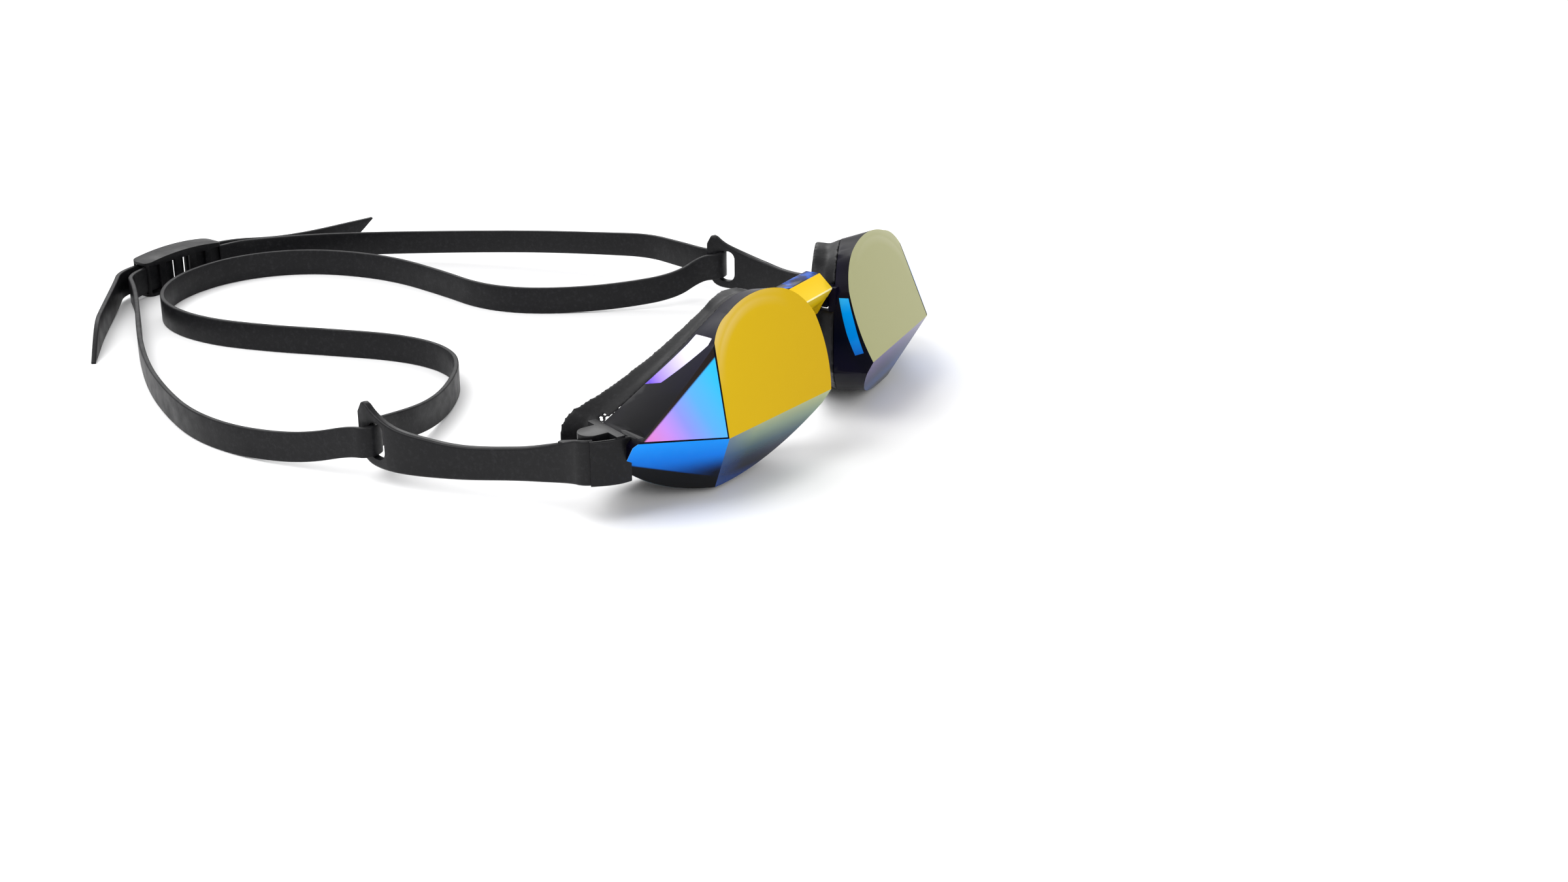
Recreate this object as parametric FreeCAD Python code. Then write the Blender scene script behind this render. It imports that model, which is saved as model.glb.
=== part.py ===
import FreeCAD, Part
import math
import os

from FreeCAD import Vector

# Swim goggles lying on a table: two faceted lens cups with soft gaskets, a clip-in nose
# bridge, two side arms on hinge brackets, one strap and its ladder buckle.
# Millimetres. +X is the wearer's left, +Y is backward, +Z is up, the table is z = 0.
# The left half is modelled and mirrored about x = 0. The model is drawn with y = 0 at the
# lower outer corner of the lens faces, and moved by ORIGIN_Y and ORIGIN_X when it is written.

ORIGIN_X = 3.24
ORIGIN_Y = 114.74

BRIDGE_HALF = 7.5                  # half the nose bridge's width; the cups' x starts at its ends

# ---- lens cups -----------------------------------------------------------------------
FACE_CENTRE = (BRIDGE_HALF + 22.5, 1.91, 30.0)    # middle of the flat front face
FACE_YAW = 6.86                    # degrees, face turned outward
FACE_LEAN = 18.93                  # degrees, face leaned back
FACE_IN = 22.1                     # face centre to the bulged nose edge
FACE_OUT = 19.6                    # face centre to the lower outer corner
FACE_TOP = 15.5                    # face centre to the top of the arc
FACE_BOTTOM = 13.2                 # face centre to the bottom edge
FACE_SHOULDER = 16.2               # face centre to the upper outer corner
SHOULDER_HEIGHT = 7.6              # height of that corner over the face centre
BOTTOM_TURN = 47.5                 # degrees from the face to the bottom facet
BROW_CORNER = (BRIDGE_HALF + 58.4, 11.7, 20.7)   # temple end of the crease between the two side facets
CHEEK_CORNER = (BRIDGE_HALF + 59.0, 17.1, 13.2)  # lower temple corner of the lens
CHIN_CORNER = (BRIDGE_HALF + 36.8, 7.2, 3.3)     # lower end of the crease between side and bottom facets
LENS_WALL = 1.6

# ---- rim plane, where lens and gasket meet --------------------------------------------
RIM_CENTRE = (BRIDGE_HALF + 28.5, 17.2, 21.0)
RIM_YAW = 23.7                     # degrees, the rim follows the face round to the temple
RIM_IN = 31.6                      # rim centre to the nose edge
RIM_OUT = 28.2                     # rim centre to the temple end
RIM_TOP = 22.0
RIM_BOTTOM = 20.4

# ---- gasket --------------------------------------------------------------------------
GASKET_DEPTH = 6.5
GASKET_IN = 28.8
GASKET_OUT = 34.0
GASKET_TOP = 21.0
GASKET_BOTTOM = 20.95
GASKET_WALL = 3.0

# ---- hinge bracket and side arm --------------------------------------------------------
BRACKET_THICK = 2.2
BRACKET_HEIGHT = 12.0
BRACKET_BASE = 8.9                 # height of its underside over the table
BRACKET_FRONT = 13.0               # reach forward of the rim plane
EAR_HEIGHT = 2.0
EAR_RADIUS = 2.9
PIN_RADIUS = 1.2
PIN_REACH = 33.4                   # hinge pin from the rim centre, along the rim
PIN_FORWARD = 6.4                  # hinge pin forward of the rim plane
RUNNING_GAP = 0.05                 # radial clearance of the hinge
END_GAP = 0.2                      # clearance of the arm's eye between the ears
EYE_RADIUS = 2.5
ARM_THICK = 2.0
ARM_ROUTE = [(BRIDGE_HALF + out, y) for out, y in
             ((64.7, 35.0), (66.1, 45.0), (68.1, 56.0), (70.4, 66.0), (71.2, 73.5), (69.7, 83.2))]
ARM_END = 84.4                     # y of the arm's rear edge
ARM_TIP_HEIGHT = 19.8
SLOT_FRONT = 75.9
SLOT_REAR = 81.2
SLOT_CORNER = 1.2
SLOT_ROOM = 0.75                   # from the strap's edges to the ends of its slot

# ---- nose bridge -----------------------------------------------------------------------
BRIDGE_RIDGE = (5.2, 36.0)         # y, z of the front ridge
BRIDGE_TOP = (8.9, 39.4)           # y, z of the top front edge
BRIDGE_CHIN = (9.4, 28.8)          # y, z of the lower edge
BRIDGE_DEPTH = 3.8                 # top edge to the back
BRIDGE_WALL = 2.6
HOOK_REACH = 2.2                   # how far each hook runs into its socket
HOOK_NECK = 1.4
HOOK_HEAD = 3.0
HOOK_HEIGHT = 7.0
SOCKET_GAP = 0.15
SOCKET_WALL = 1.1
SOCKET_Y = 7.3                     # middle of each socket, front to back
SOCKET_BASE = 29.8

# ---- strap -----------------------------------------------------------------------------
STRAP_WIDTH = 7.6
STRAP_THICK = 1.3
STRAP_LEVEL_RIGHT = 7.0            # height of its lower edge where it passes the right arm
STRAP_LEVEL_LEFT = 7.5             # and the left arm
TAIL_TIP_LEFT = 19.0               # length of the pointed end of each tail
TAIL_TIP_RIGHT = 14.0
SOFT_GAP = 0.35

# ---- buckle ----------------------------------------------------------------------------
BUCKLE_LENGTH = 28.0
BUCKLE_X = 11.0
BUCKLE_Y = 229.0
BUCKLE_YAW = -7.0                  # degrees, the buckle follows the strap
BUCKLE_RAIL = 0.9                  # least thickness of its top and bottom rails
BUCKLE_CROWN = 1.3                 # rise of the top rail at mid length
BUCKLE_WALL = 1.0
BUCKLE_WINDOWS = 5
BUCKLE_WINDOW = 3.4
BUCKLE_CORNER = 2.0
POST_RADIUS = 0.75                 # the two posts that the strap ends turn round
POST_REACH = 4.8                   # each post from the buckle's middle
BUCKLE_EXIT = 5.5                  # straight strap past each end of the buckle


def unit(v):
    length = math.sqrt(sum(c * c for c in v))
    return Vector(*[c / length for c in v])


# The face's own directions: along it outward, up it, and out of its front.
yaw = math.radians(FACE_YAW)
lean = math.radians(FACE_LEAN)
face_centre = Vector(*FACE_CENTRE)
face_u = Vector(math.cos(yaw), math.sin(yaw), 0)
face_v = Vector(-math.sin(yaw) * math.sin(lean), math.cos(yaw) * math.sin(lean), math.cos(lean))
face_n = Vector(math.sin(yaw) * math.cos(lean), -math.cos(yaw) * math.cos(lean), math.sin(lean))

# The rim's own directions: along it to the temple, and out of its back.
turn = math.radians(RIM_YAW)
rim_centre = Vector(*RIM_CENTRE)
rim_u = Vector(math.cos(turn), math.sin(turn), 0)
rim_v = Vector(0, 0, 1)
rim_n = Vector(-math.sin(turn), math.cos(turn), 0)


def on_face(u, v, back=0.0):
    return face_centre + face_u * u + face_v * v - face_n * back


def on_rim(s, z, back=0.0):
    return rim_centre + rim_u * s + rim_v * z + rim_n * back


# ---- outlines --------------------------------------------------------------------------
# Each outline is seven arcs: nose edge, nose chamfer, top, shoulder, brow slope, temple
# end and underside. It lists the end of every arc and a point midway along it.

def face_outline():
    low_v = -FACE_BOTTOM - 3.7
    nose = (-FACE_IN + 4.0, low_v)
    return [
        (nose, (-FACE_IN, -2.5), (-FACE_IN + 0.9, 5.8)),
        ((-FACE_IN + 0.9, 5.8), (-16.7, FACE_TOP - 4.1), (-10.7, FACE_TOP - 1.1)),
        ((-10.7, FACE_TOP - 1.1), (-1.0, FACE_TOP), (8.8, FACE_TOP - 2.2)),
        ((8.8, FACE_TOP - 2.2), (13.7, FACE_TOP - 4.7), (FACE_SHOULDER, SHOULDER_HEIGHT)),
        ((FACE_SHOULDER, SHOULDER_HEIGHT), (28.2, -0.6), (39.9, -9.0)),
        ((39.9, -9.0), (44.0, -15.0), (40.2, -20.6)),
        ((40.2, -20.6), (12.0, -29.6), nose),
    ]


def rim_outline():
    nose = (-RIM_IN + 1.1, -7.0)
    return [
        (nose, (-RIM_IN, 2.0), (-RIM_IN + 1.4, 12.5)),
        ((-RIM_IN + 1.4, 12.5), (-26.4, RIM_TOP - 4.2), (-20.0, RIM_TOP - 0.9)),
        ((-20.0, RIM_TOP - 0.9), (-12.6, RIM_TOP), (-5.5, RIM_TOP - 3.2)),
        ((-5.5, RIM_TOP - 3.2), (-1.2, RIM_TOP - 6.2), (3.0, RIM_TOP - 9.3)),
        ((3.0, RIM_TOP - 9.3), (14.3, 5.2), (25.5, -1.5)),
        ((25.5, -1.5), (RIM_OUT + 0.9, -6.5), (25.2, -12.0)),
        ((25.2, -12.0), (-2.0, -RIM_BOTTOM), nose),
    ]


def gasket_outline():
    nose = (-GASKET_IN + 1.2, -7.5)
    return [
        (nose, (-GASKET_IN, 2.0), (-GASKET_IN + 1.6, 11.5)),
        ((-GASKET_IN + 1.6, 11.5), (-23.6, GASKET_TOP - 4.2), (-18.2, GASKET_TOP - 0.9)),
        ((-18.2, GASKET_TOP - 0.9), (-12.2, GASKET_TOP), (-6.6, GASKET_TOP - 3.0)),
        ((-6.6, GASKET_TOP - 3.0), (-1.8, GASKET_TOP - 6.0), (3.3, GASKET_TOP - 9.0)),
        ((3.3, GASKET_TOP - 9.0), (17.0, 5.2), (30.0, 0.6)),
        ((30.0, 0.6), (GASKET_OUT, -5.4), (30.4, -11.2)),
        ((30.4, -11.2), (2.0, -GASKET_BOTTOM), nose),
    ]


def shrunk(outline, inset):
    """The outline drawn in by about inset all round."""
    ends = [p for arc in outline for p in arc]
    low = [min(p[i] for p in ends) for i in (0, 1)]
    high = [max(p[i] for p in ends) for i in (0, 1)]
    middle = [(low[i] + high[i]) / 2 for i in (0, 1)]
    share = [1 - 2 * inset / (high[i] - low[i]) for i in (0, 1)]

    def move(p):
        return tuple(middle[i] + (p[i] - middle[i]) * share[i] for i in (0, 1))

    return [tuple(move(p) for p in arc) for arc in outline]


def blend_outlines(first, second, share):
    """An outline part of the way from one to another."""
    def mix(p, q):
        return tuple(a + (b - a) * share for a, b in zip(p, q))

    return [tuple(mix(p, q) for p, q in zip(a, b)) for a, b in zip(first, second)]


def wire(outline, place, back=0.0):
    edges = []
    for start, middle, end in outline:
        arc = Part.Arc(place(*start, back), place(*middle, back), place(*end, back))
        edges.append(arc.toShape())
    return Part.Wire(edges)


def skin(wires):
    return Part.makeLoft(wires, True, True)


def trim(shape, point, normal, reach=200.0):
    """The part of a shape behind a plane whose normal points away from what stays."""
    block = Part.makeBox(reach, reach, reach, Vector(-reach / 2, -reach / 2, 0))
    block.Placement = FreeCAD.Placement(point, FreeCAD.Rotation(Vector(0, 0, 1), normal))
    return shape.cut(block)


# ---- facet planes ----------------------------------------------------------------------
brow = on_face(FACE_SHOULDER, SHOULDER_HEIGHT)
corner = on_face(FACE_OUT, -FACE_BOTTOM)
nose_corner = on_face(-FACE_IN + 2.8, -FACE_BOTTOM)
bottom_n = FreeCAD.Rotation(nose_corner - corner, BOTTOM_TURN).multVec(face_n)
if bottom_n.z > face_n.z:
    bottom_n = FreeCAD.Rotation(nose_corner - corner, -BOTTOM_TURN).multVec(face_n)
upper_side_n = unit((Vector(*BROW_CORNER) - corner).cross(brow - corner))
lower_side_n = unit((Vector(*CHIN_CORNER) - corner).cross(Vector(*CHEEK_CORNER) - corner))
FACETS = [(corner, bottom_n), (corner, upper_side_n), (corner, lower_side_n)]


def cup(inset, behind):
    """The solid inside the lens's outer surface, drawn in by inset, ending behind the rim."""
    front = wire(shrunk(face_outline(), inset), on_face, inset)
    rear = wire(shrunk(rim_outline(), inset), on_rim, 0.0)
    body = skin([front, rear])
    if behind > 0:
        outline = shrunk(rim_outline(), inset)
        body = body.fuse(skin([wire(outline, on_rim, 0.0), wire(outline, on_rim, behind)]))
    for point, normal in FACETS:
        body = trim(body, point - normal * inset, normal)
    return trim(body, on_rim(RIM_OUT - inset, 0), rim_u)


def socket_block():
    """A boss on the cup's nose side, ahead of the gasket, that the bridge clips into."""
    half = HOOK_HEAD / 2 + SOCKET_GAP + SOCKET_WALL
    start = BRIDGE_HALF + SOFT_GAP
    reach = BRIDGE_HALF + HOOK_REACH + SOCKET_GAP + SOCKET_WALL - start
    return Part.makeBox(reach, 2 * half, BRIDGE_RIDGE[1] - SOCKET_BASE,
                        Vector(start, SOCKET_Y - half, SOCKET_BASE))


def bridge_hook(gap, top):
    """One T hook of the bridge, or with a gap, the slot that it slides in."""
    floor = SOCKET_BASE + SOCKET_WALL - gap
    neck_half = HOOK_NECK / 2 + gap
    head_half = HOOK_HEAD / 2 + gap
    head = HOOK_REACH / 2
    neck = Part.makeBox(HOOK_REACH + 0.4, 2 * neck_half, top - floor,
                        Vector(BRIDGE_HALF - 0.4, SOCKET_Y - neck_half, floor))
    tee = Part.makeBox(head + 2 * gap, 2 * head_half, top - floor,
                       Vector(BRIDGE_HALF + HOOK_REACH - head - gap, SOCKET_Y - head_half, floor))
    return neck.fuse(tee)


def make_lens():
    shell = cup(0.0, 0.0).cut(cup(LENS_WALL, 20.0))
    boss = socket_block().cut(cup(LENS_WALL / 2, 20.0))
    lens = shell.fuse(boss)
    lens = lens.cut(bridge_hook(SOCKET_GAP, 60.0)).removeSplitter()
    return max(lens.Solids, key=lambda piece: piece.Volume)


def make_gasket():
    near = rim_outline()
    far = gasket_outline()
    middle = shrunk(blend_outlines(near, far, 0.45), 1.0)
    waist = GASKET_DEPTH * 0.45
    body = skin([wire(near, on_rim, 0.0), wire(middle, on_rim, waist)])
    body = body.fuse(skin([wire(middle, on_rim, waist), wire(far, on_rim, GASKET_DEPTH)]))
    hollow = skin([wire(shrunk(near, LENS_WALL + 0.4), on_rim, -1.0),
                   wire(shrunk(far, GASKET_WALL), on_rim, GASKET_DEPTH + 1.0)])
    room = socket_block()
    room.translate(Vector(0, 0.1, 0))
    way_out = bridge_hook(SOFT_GAP, 60.0)
    return body.cut(hollow).cut(room).cut(way_out).removeSplitter()


# ---- hinge bracket ---------------------------------------------------------------------
pin_foot = on_rim(PIN_REACH, 0, -PIN_FORWARD)
ear_low = BRACKET_BASE
ear_high = BRACKET_BASE + BRACKET_HEIGHT - EAR_HEIGHT


def upright(points, base, height):
    """A prism over a plan outline."""
    loop = Part.makePolygon([Vector(x, y, base) for x, y in points + points[:1]])
    return Part.Face(loop).extrude(Vector(0, 0, height))


def rim_plan(corners):
    spots = [on_rim(s, 0, back) for s, back in corners]
    return [(p.x, p.y) for p in spots]


def make_bracket():
    inner = RIM_OUT
    outer = RIM_OUT + BRACKET_THICK
    plate = upright(rim_plan([(inner, -BRACKET_FRONT), (outer, -BRACKET_FRONT), (outer, -0.6),
                              (inner, -0.6)]), BRACKET_BASE, BRACKET_HEIGHT)
    bracket = plate
    for base in (ear_low, ear_high):
        arm = upright(rim_plan([(inner, -PIN_FORWARD - EAR_RADIUS), (PIN_REACH, -PIN_FORWARD - EAR_RADIUS),
                                (PIN_REACH, -PIN_FORWARD + EAR_RADIUS),
                                (inner, -PIN_FORWARD + EAR_RADIUS)]), base, EAR_HEIGHT)
        ear = Part.makeCylinder(EAR_RADIUS, EAR_HEIGHT, Vector(pin_foot.x, pin_foot.y, base))
        bracket = bracket.fuse(arm).fuse(ear)
    pin = Part.makeCylinder(PIN_RADIUS, BRACKET_HEIGHT, Vector(pin_foot.x, pin_foot.y, BRACKET_BASE))
    bracket = bracket.fuse(pin)
    for point, normal in FACETS[1:]:
        bracket = trim(bracket, point, normal)
    return bracket.removeSplitter()


# ---- ribbons ---------------------------------------------------------------------------
def rounded_route(points, step=10.0):
    """A route's straight runs joined by tangent arcs, and where each given point comes on it."""
    out = [tuple(points[0])]
    places = [0]
    for before, here, after in zip(points, points[1:], points[2:]):
        a = Vector(here[0] - before[0], here[1] - before[1], 0)
        b = Vector(after[0] - here[0], after[1] - here[1], 0)
        angle = a.getAngle(b)
        reach = 0.45 * min(a.Length, b.Length)
        count = 2 * max(1, int(math.ceil(math.degrees(angle) / step / 2)))
        radius = reach / math.tan(angle / 2)
        turning = 1 if a.x * b.y - a.y * b.x > 0 else -1
        start = Vector(here[0], here[1], 0) - a * (reach / a.Length)
        middle = start + Vector(-a.y, a.x, 0) * (turning * radius / a.Length)
        spoke = start - middle
        for i in range(count + 1):
            share = i / count
            swing = angle * share * turning
            x = middle.x + spoke.x * math.cos(swing) - spoke.y * math.sin(swing)
            y = middle.y + spoke.x * math.sin(swing) + spoke.y * math.cos(swing)
            extra = []
            for k in range(2, len(here)):
                first = here[k] + (before[k] - here[k]) * reach / a.Length
                last = here[k] + (after[k] - here[k]) * reach / b.Length
                extra.append(first + (last - first) * share)
            out.append((x, y, *extra))
        places.append(len(out) - 1 - count // 2)
    out.append(tuple(points[-1]))
    places.append(len(out) - 1)
    return out, places


def headings(route):
    """The unit direction of travel at each point of a route."""
    result = []
    for i in range(len(route)):
        a = route[max(i - 1, 0)]
        b = route[min(i + 1, len(route) - 1)]
        length = math.hypot(b[0] - a[0], b[1] - a[1])
        result.append(((b[0] - a[0]) / length, (b[1] - a[1]) / length))
    return result


def pointed(left, tip):
    """The share of a strap's width that stays at a distance from its pointed end."""
    if left >= tip:
        return 1.0
    return 0.1 + 0.9 * math.sin(math.pi / 2 * left / tip)


def band_section(spot, way, width, thick, low=0.0, high=1.0):
    """One cross section of a band on edge, between two shares of its width."""
    x, y, base, tilt = spot
    nx, ny = -way[1], way[0]
    corners = []
    for side, level in ((-0.5, low), (0.5, low), (0.5, high), (-0.5, high)):
        across = side * thick + tilt * level
        corners.append(Vector(x + nx * across, y + ny * across, base + width * level))
    return Part.makePolygon(corners + corners[:1])


def ribbon(points, width, thick):
    """A plain band on edge along points of (x, y, height of its lower edge, lean of its top)."""
    route = rounded_route(points)[0]
    sections = [band_section(spot, way, width, thick) for spot, way in zip(route, headings(route))]
    return Part.makeLoft(sections, True, True)


# ---- side arm ----------------------------------------------------------------------------
def make_arm():
    start = (pin_foot.x, pin_foot.y)
    route = [start] + ARM_ROUTE
    strip = ribbon([(x, y, -1.0, 0.0) for x, y in route], ARM_TIP_HEIGHT + 4.0, ARM_THICK)
    eye_base = ear_low + EAR_HEIGHT + END_GAP
    eye_top = ear_high - END_GAP
    clear = pin_foot.y + EAR_RADIUS + 1.4
    top = [(pin_foot.y - 4.0, eye_top), (clear, eye_top), (37.0, 16.1), (46.0, 14.4), (55.0, 13.5)]
    flare = [(63.0, 14.0), (70.5, 15.2), (76.0, 16.9), (ARM_END - 4.4, ARM_TIP_HEIGHT - 1.5),
             (ARM_END - 2.6, ARM_TIP_HEIGHT), (ARM_END - 1.2, ARM_TIP_HEIGHT - 0.3),
             (ARM_END, ARM_TIP_HEIGHT - 2.0)]
    bottom = [(ARM_END, 11.0), (ARM_END - 1.0, 6.4), (ARM_END - 2.6, 4.9), (ARM_END - 5.0, 4.3),
              (66.0, 4.5), (55.0, 5.1), (45.0, 6.5), (36.0, 7.8), (clear, eye_base - 2.8),
              (clear - 0.01, eye_base), (pin_foot.y - 4.0, eye_base)]
    loop = Part.makePolygon([Vector(40, y, z) for y, z in top + flare + bottom + top[:1]])
    profile = Part.Face(loop).extrude(Vector(60, 0, 0))
    arm = strip.common(profile)
    eye = Part.makeCylinder(EYE_RADIUS, eye_top - eye_base, Vector(pin_foot.x, pin_foot.y, eye_base))
    arm = arm.fuse(eye)
    bore = Part.makeCylinder(PIN_RADIUS + RUNNING_GAP, 60, Vector(pin_foot.x, pin_foot.y, -10))
    slot_base = STRAP_LEVEL_RIGHT - SLOT_ROOM
    slot_top = STRAP_LEVEL_LEFT + STRAP_WIDTH + SLOT_ROOM
    slot = Part.makeBox(60, SLOT_REAR - SLOT_FRONT, slot_top - slot_base, Vector(40, SLOT_FRONT, slot_base))
    rounded = [e for e in slot.Edges if abs(e.Vertexes[0].Point.x - e.Vertexes[1].Point.x) > 50]
    slot = slot.makeFillet(SLOT_CORNER, rounded)
    return arm.cut(bore).cut(slot).removeSplitter()


# ---- nose bridge -------------------------------------------------------------------------
def make_bridge():
    back = BRIDGE_TOP[0] + BRIDGE_DEPTH
    profile = [BRIDGE_RIDGE, BRIDGE_TOP, (back, BRIDGE_TOP[1]), (back, BRIDGE_CHIN[1] + 3.0), BRIDGE_CHIN]
    loop = Part.makePolygon([Vector(-BRIDGE_HALF, y, z) for y, z in profile + profile[:1]])
    bar = Part.Face(loop).extrude(Vector(2 * BRIDGE_HALF, 0, 0))
    arch_r = 9.5
    arch = Part.makeCylinder(arch_r, 30, Vector(0, 0, BRIDGE_CHIN[1] - arch_r + 2.2), Vector(0, 1, 0))
    bar = bar.cut(arch)
    for side in (1, -1):
        hook = bridge_hook(0.0, BRIDGE_RIDGE[1])
        if side < 0:
            hook = mirrored(hook)
        bar = bar.fuse(hook)
    return bar.removeSplitter()


# ---- strap ---------------------------------------------------------------------------------
# Route points are (x, y, height of the lower edge, sideways lean of the top edge).
slot_bar = (SLOT_REAR + ARM_END) / 2
LAYER = POST_RADIUS + SOFT_GAP + STRAP_THICK / 2      # strap middle to post middle
BUCKLE_LEVEL = BUCKLE_RAIL + SOFT_GAP                 # lower edge of the strap in the buckle
CHANNEL_HALF = LAYER + STRAP_THICK / 2 + SOFT_GAP
CHANNEL_TOP = BUCKLE_LEVEL + STRAP_WIDTH + SOFT_GAP
SIDE = ARM_THICK / 2 + STRAP_THICK / 2 + SOFT_GAP     # strap middle to arm middle, beside it
FOLD_SLACK = 0.35                                     # how loosely the strap rounds the slot's bar
FOLD_FRONT = SLOT_REAR - STRAP_THICK / 2 - SOFT_GAP - FOLD_SLACK


def arm_x(y):
    """Where the arm's middle line is at a given y, near its rear end."""
    (x0, y0), (x1, y1) = ARM_ROUTE[-2:]
    return x0 + (x1 - x0) * (y - y0) / (y1 - y0)


OUTER_LEG = (arm_x(slot_bar + 3.4) + SIDE + 1.2, slot_bar + 3.4)
INNER_LEG = (arm_x(slot_bar + 2.2) - SIDE - 0.9, slot_bar + 2.2)


def fold(side, level):
    """The strap's fold round the rear bar of one arm's slot, from outside to inside."""
    return [
        (side * OUTER_LEG[0], OUTER_LEG[1], level - 0.9, 0.0),
        (side * (arm_x(FOLD_FRONT) + SIDE + 0.4 + FOLD_SLACK), FOLD_FRONT, level, 0.0),
        (side * (arm_x(FOLD_FRONT) - SIDE - 0.4 - FOLD_SLACK), FOLD_FRONT, level, 0.0),
        (side * INNER_LEG[0], INNER_LEG[1], level - 0.9, 0.0),
    ]


def mirrored(shape):
    return shape.mirror(Vector(0, 0, 0), Vector(1, 0, 0))


def in_buckle(along, across):
    """A plan point of the buckle, from its middle: along it to the wearer's left, and back."""
    swing = math.radians(BUCKLE_YAW)
    x = BUCKLE_X + along * math.cos(swing) - across * math.sin(swing)
    y = BUCKLE_Y + along * math.sin(swing) + across * math.cos(swing)
    return x, y


def buckle_end(side, across):
    """Where the strap passes one end of the buckle, on its front or back layer."""
    return (*in_buckle(side * (BUCKLE_LENGTH / 2 + BUCKLE_EXIT), across), BUCKLE_LEVEL, 0.0)


def post_turn(side):
    """The strap round one post: in on the front layer, back out on the rear one."""
    inmost = side * (POST_REACH - LAYER)
    return [
        buckle_end(side, -LAYER),
        (*in_buckle(inmost, -LAYER), BUCKLE_LEVEL, 0.0),
        (*in_buckle(inmost, LAYER), BUCKLE_LEVEL, 0.0),
        buckle_end(side, LAYER),
    ]


# The whole strap as runs from the tip of its left tail to the tip of its right one. Each
# run ends where the next one starts.
RUNS = [
    ("strap_tail_left", [
        (-52.6, 198.9, 0.0, 0.0), (-46.5, 203.9, 0.0, 0.0), (-38.5, 210.6, 0.0, 0.0),
        (-28.0, 218.6, 0.0, 0.0), (-15.5, 227.6, 0.6, 0.0), *post_turn(-1)[::-1],
    ]),
    ("strap_outer_right", [
        (-15.0, 220.5, 0.5, 0.0), (-26.3, 208.2, 0.0, 0.0), (-44.1, 189.8, 0.0, 0.0),
        (-60.1, 170.7, 0.0, 0.0), (-71.1, 153.6, 0.0, 0.0), (-79.1, 137.4, 0.0, 0.0),
        (-81.8, 122.0, 0.0, 0.0), (-81.1, 108.0, 0.7, 0.0), (-80.5, 97.0, 2.6, 0.0),
    ]),
    ("strap_fold_right", fold(-1, STRAP_LEVEL_RIGHT) + [(-64.5, 87.4, 3.6, 0.0)]),
    ("strap_inner_right", [
        (-55.5, 87.4, 2.4, 0.0), (-47.0, 88.9, 1.2, 0.0), (-38.4, 91.6, 0.4, 0.0),
        (-28.9, 95.8, 0.0, 0.0), (-19.8, 101.0, 0.0, 0.0), (-13.0, 107.6, 0.0, 0.0),
        (-9.2, 117.5, 0.0, 0.0), (-9.6, 130.5, 0.0, 0.0), (-15.0, 147.4, 0.0, 0.0),
        (-19.4, 160.0, 0.0, 0.0),
    ]),
    ("strap_inner_left", [
        (-22.8, 171.0, 0.0, 0.0), (-24.9, 184.0, 0.0, 0.0), (-23.4, 197.0, 0.0, 0.0),
        (-17.4, 208.5, 0.0, 0.0), (-6.0, 216.5, 0.0, 0.0), (7.0, 219.0, 0.0, 0.0),
        (20.9, 216.8, 0.0, 0.0), (33.5, 208.5, 0.0, 0.0), (41.6, 195.5, 0.0, 0.0),
        (45.2, 176.0, 0.0, 0.0), (41.4, 154.0, 0.0, 0.0), (37.2, 138.0, 0.0, 0.0),
        (39.4, 124.5, 0.0, 0.0), (47.0, 112.0, 0.1, 0.0), (56.5, 100.5, 0.7, 0.0),
        (67.0, 89.4, 2.4, 0.0),
    ]),
    ("strap_fold_left", fold(1, STRAP_LEVEL_LEFT)[::-1] + [(84.0, 99.0, 6.1, 0.0)]),
    ("strap_outer_left", [
        (88.4, 112.0, 5.6, 1.0), (87.0, 126.0, 4.6, 2.2), (82.0, 144.4, 3.8, 2.6),
        (76.2, 160.4, 3.0, 2.6), (68.2, 177.5, 2.3, 2.4), (58.0, 194.0, 2.0, 1.8),
        (46.0, 208.7, 2.0, 1.0), (36.5, 217.5, 1.8, 0.3), buckle_end(1, -LAYER),
    ]),
    ("strap_tail_right", post_turn(1)[1:] + [
        (42.0, 218.8, 0.4, 0.0), (54.0, 214.2, 0.0, 0.0),
        (64.0, 211.3, 0.0, 0.0), (74.5, 208.0, 0.0, 0.0),
    ]),
]


def make_strap():
    """The strap's runs, cut from one band so that neighbours share their end faces."""
    points = []
    ends = [0]
    for _, run in RUNS:
        points += run
        ends.append(len(points) - 1)
    route, places = rounded_route(points)
    lengths = [0.0]
    for a, b in zip(route, route[1:]):
        lengths.append(lengths[-1] + math.hypot(b[0] - a[0], b[1] - a[1]))
    sections = []
    for spot, way, travelled in zip(route, headings(route), lengths):
        high = pointed(travelled, TAIL_TIP_LEFT)
        low = 1.0 - pointed(lengths[-1] - travelled, TAIL_TIP_RIGHT)
        sections.append(band_section(spot, way, STRAP_WIDTH, STRAP_THICK, low, high))
    pieces = {}
    for (name, _), first, last in zip(RUNS, ends, ends[1:]):
        span = sections[places[first]:places[last] + 1]
        pieces[name] = Part.makeLoft(span, True, True)
    return pieces, lengths[-1]


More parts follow.
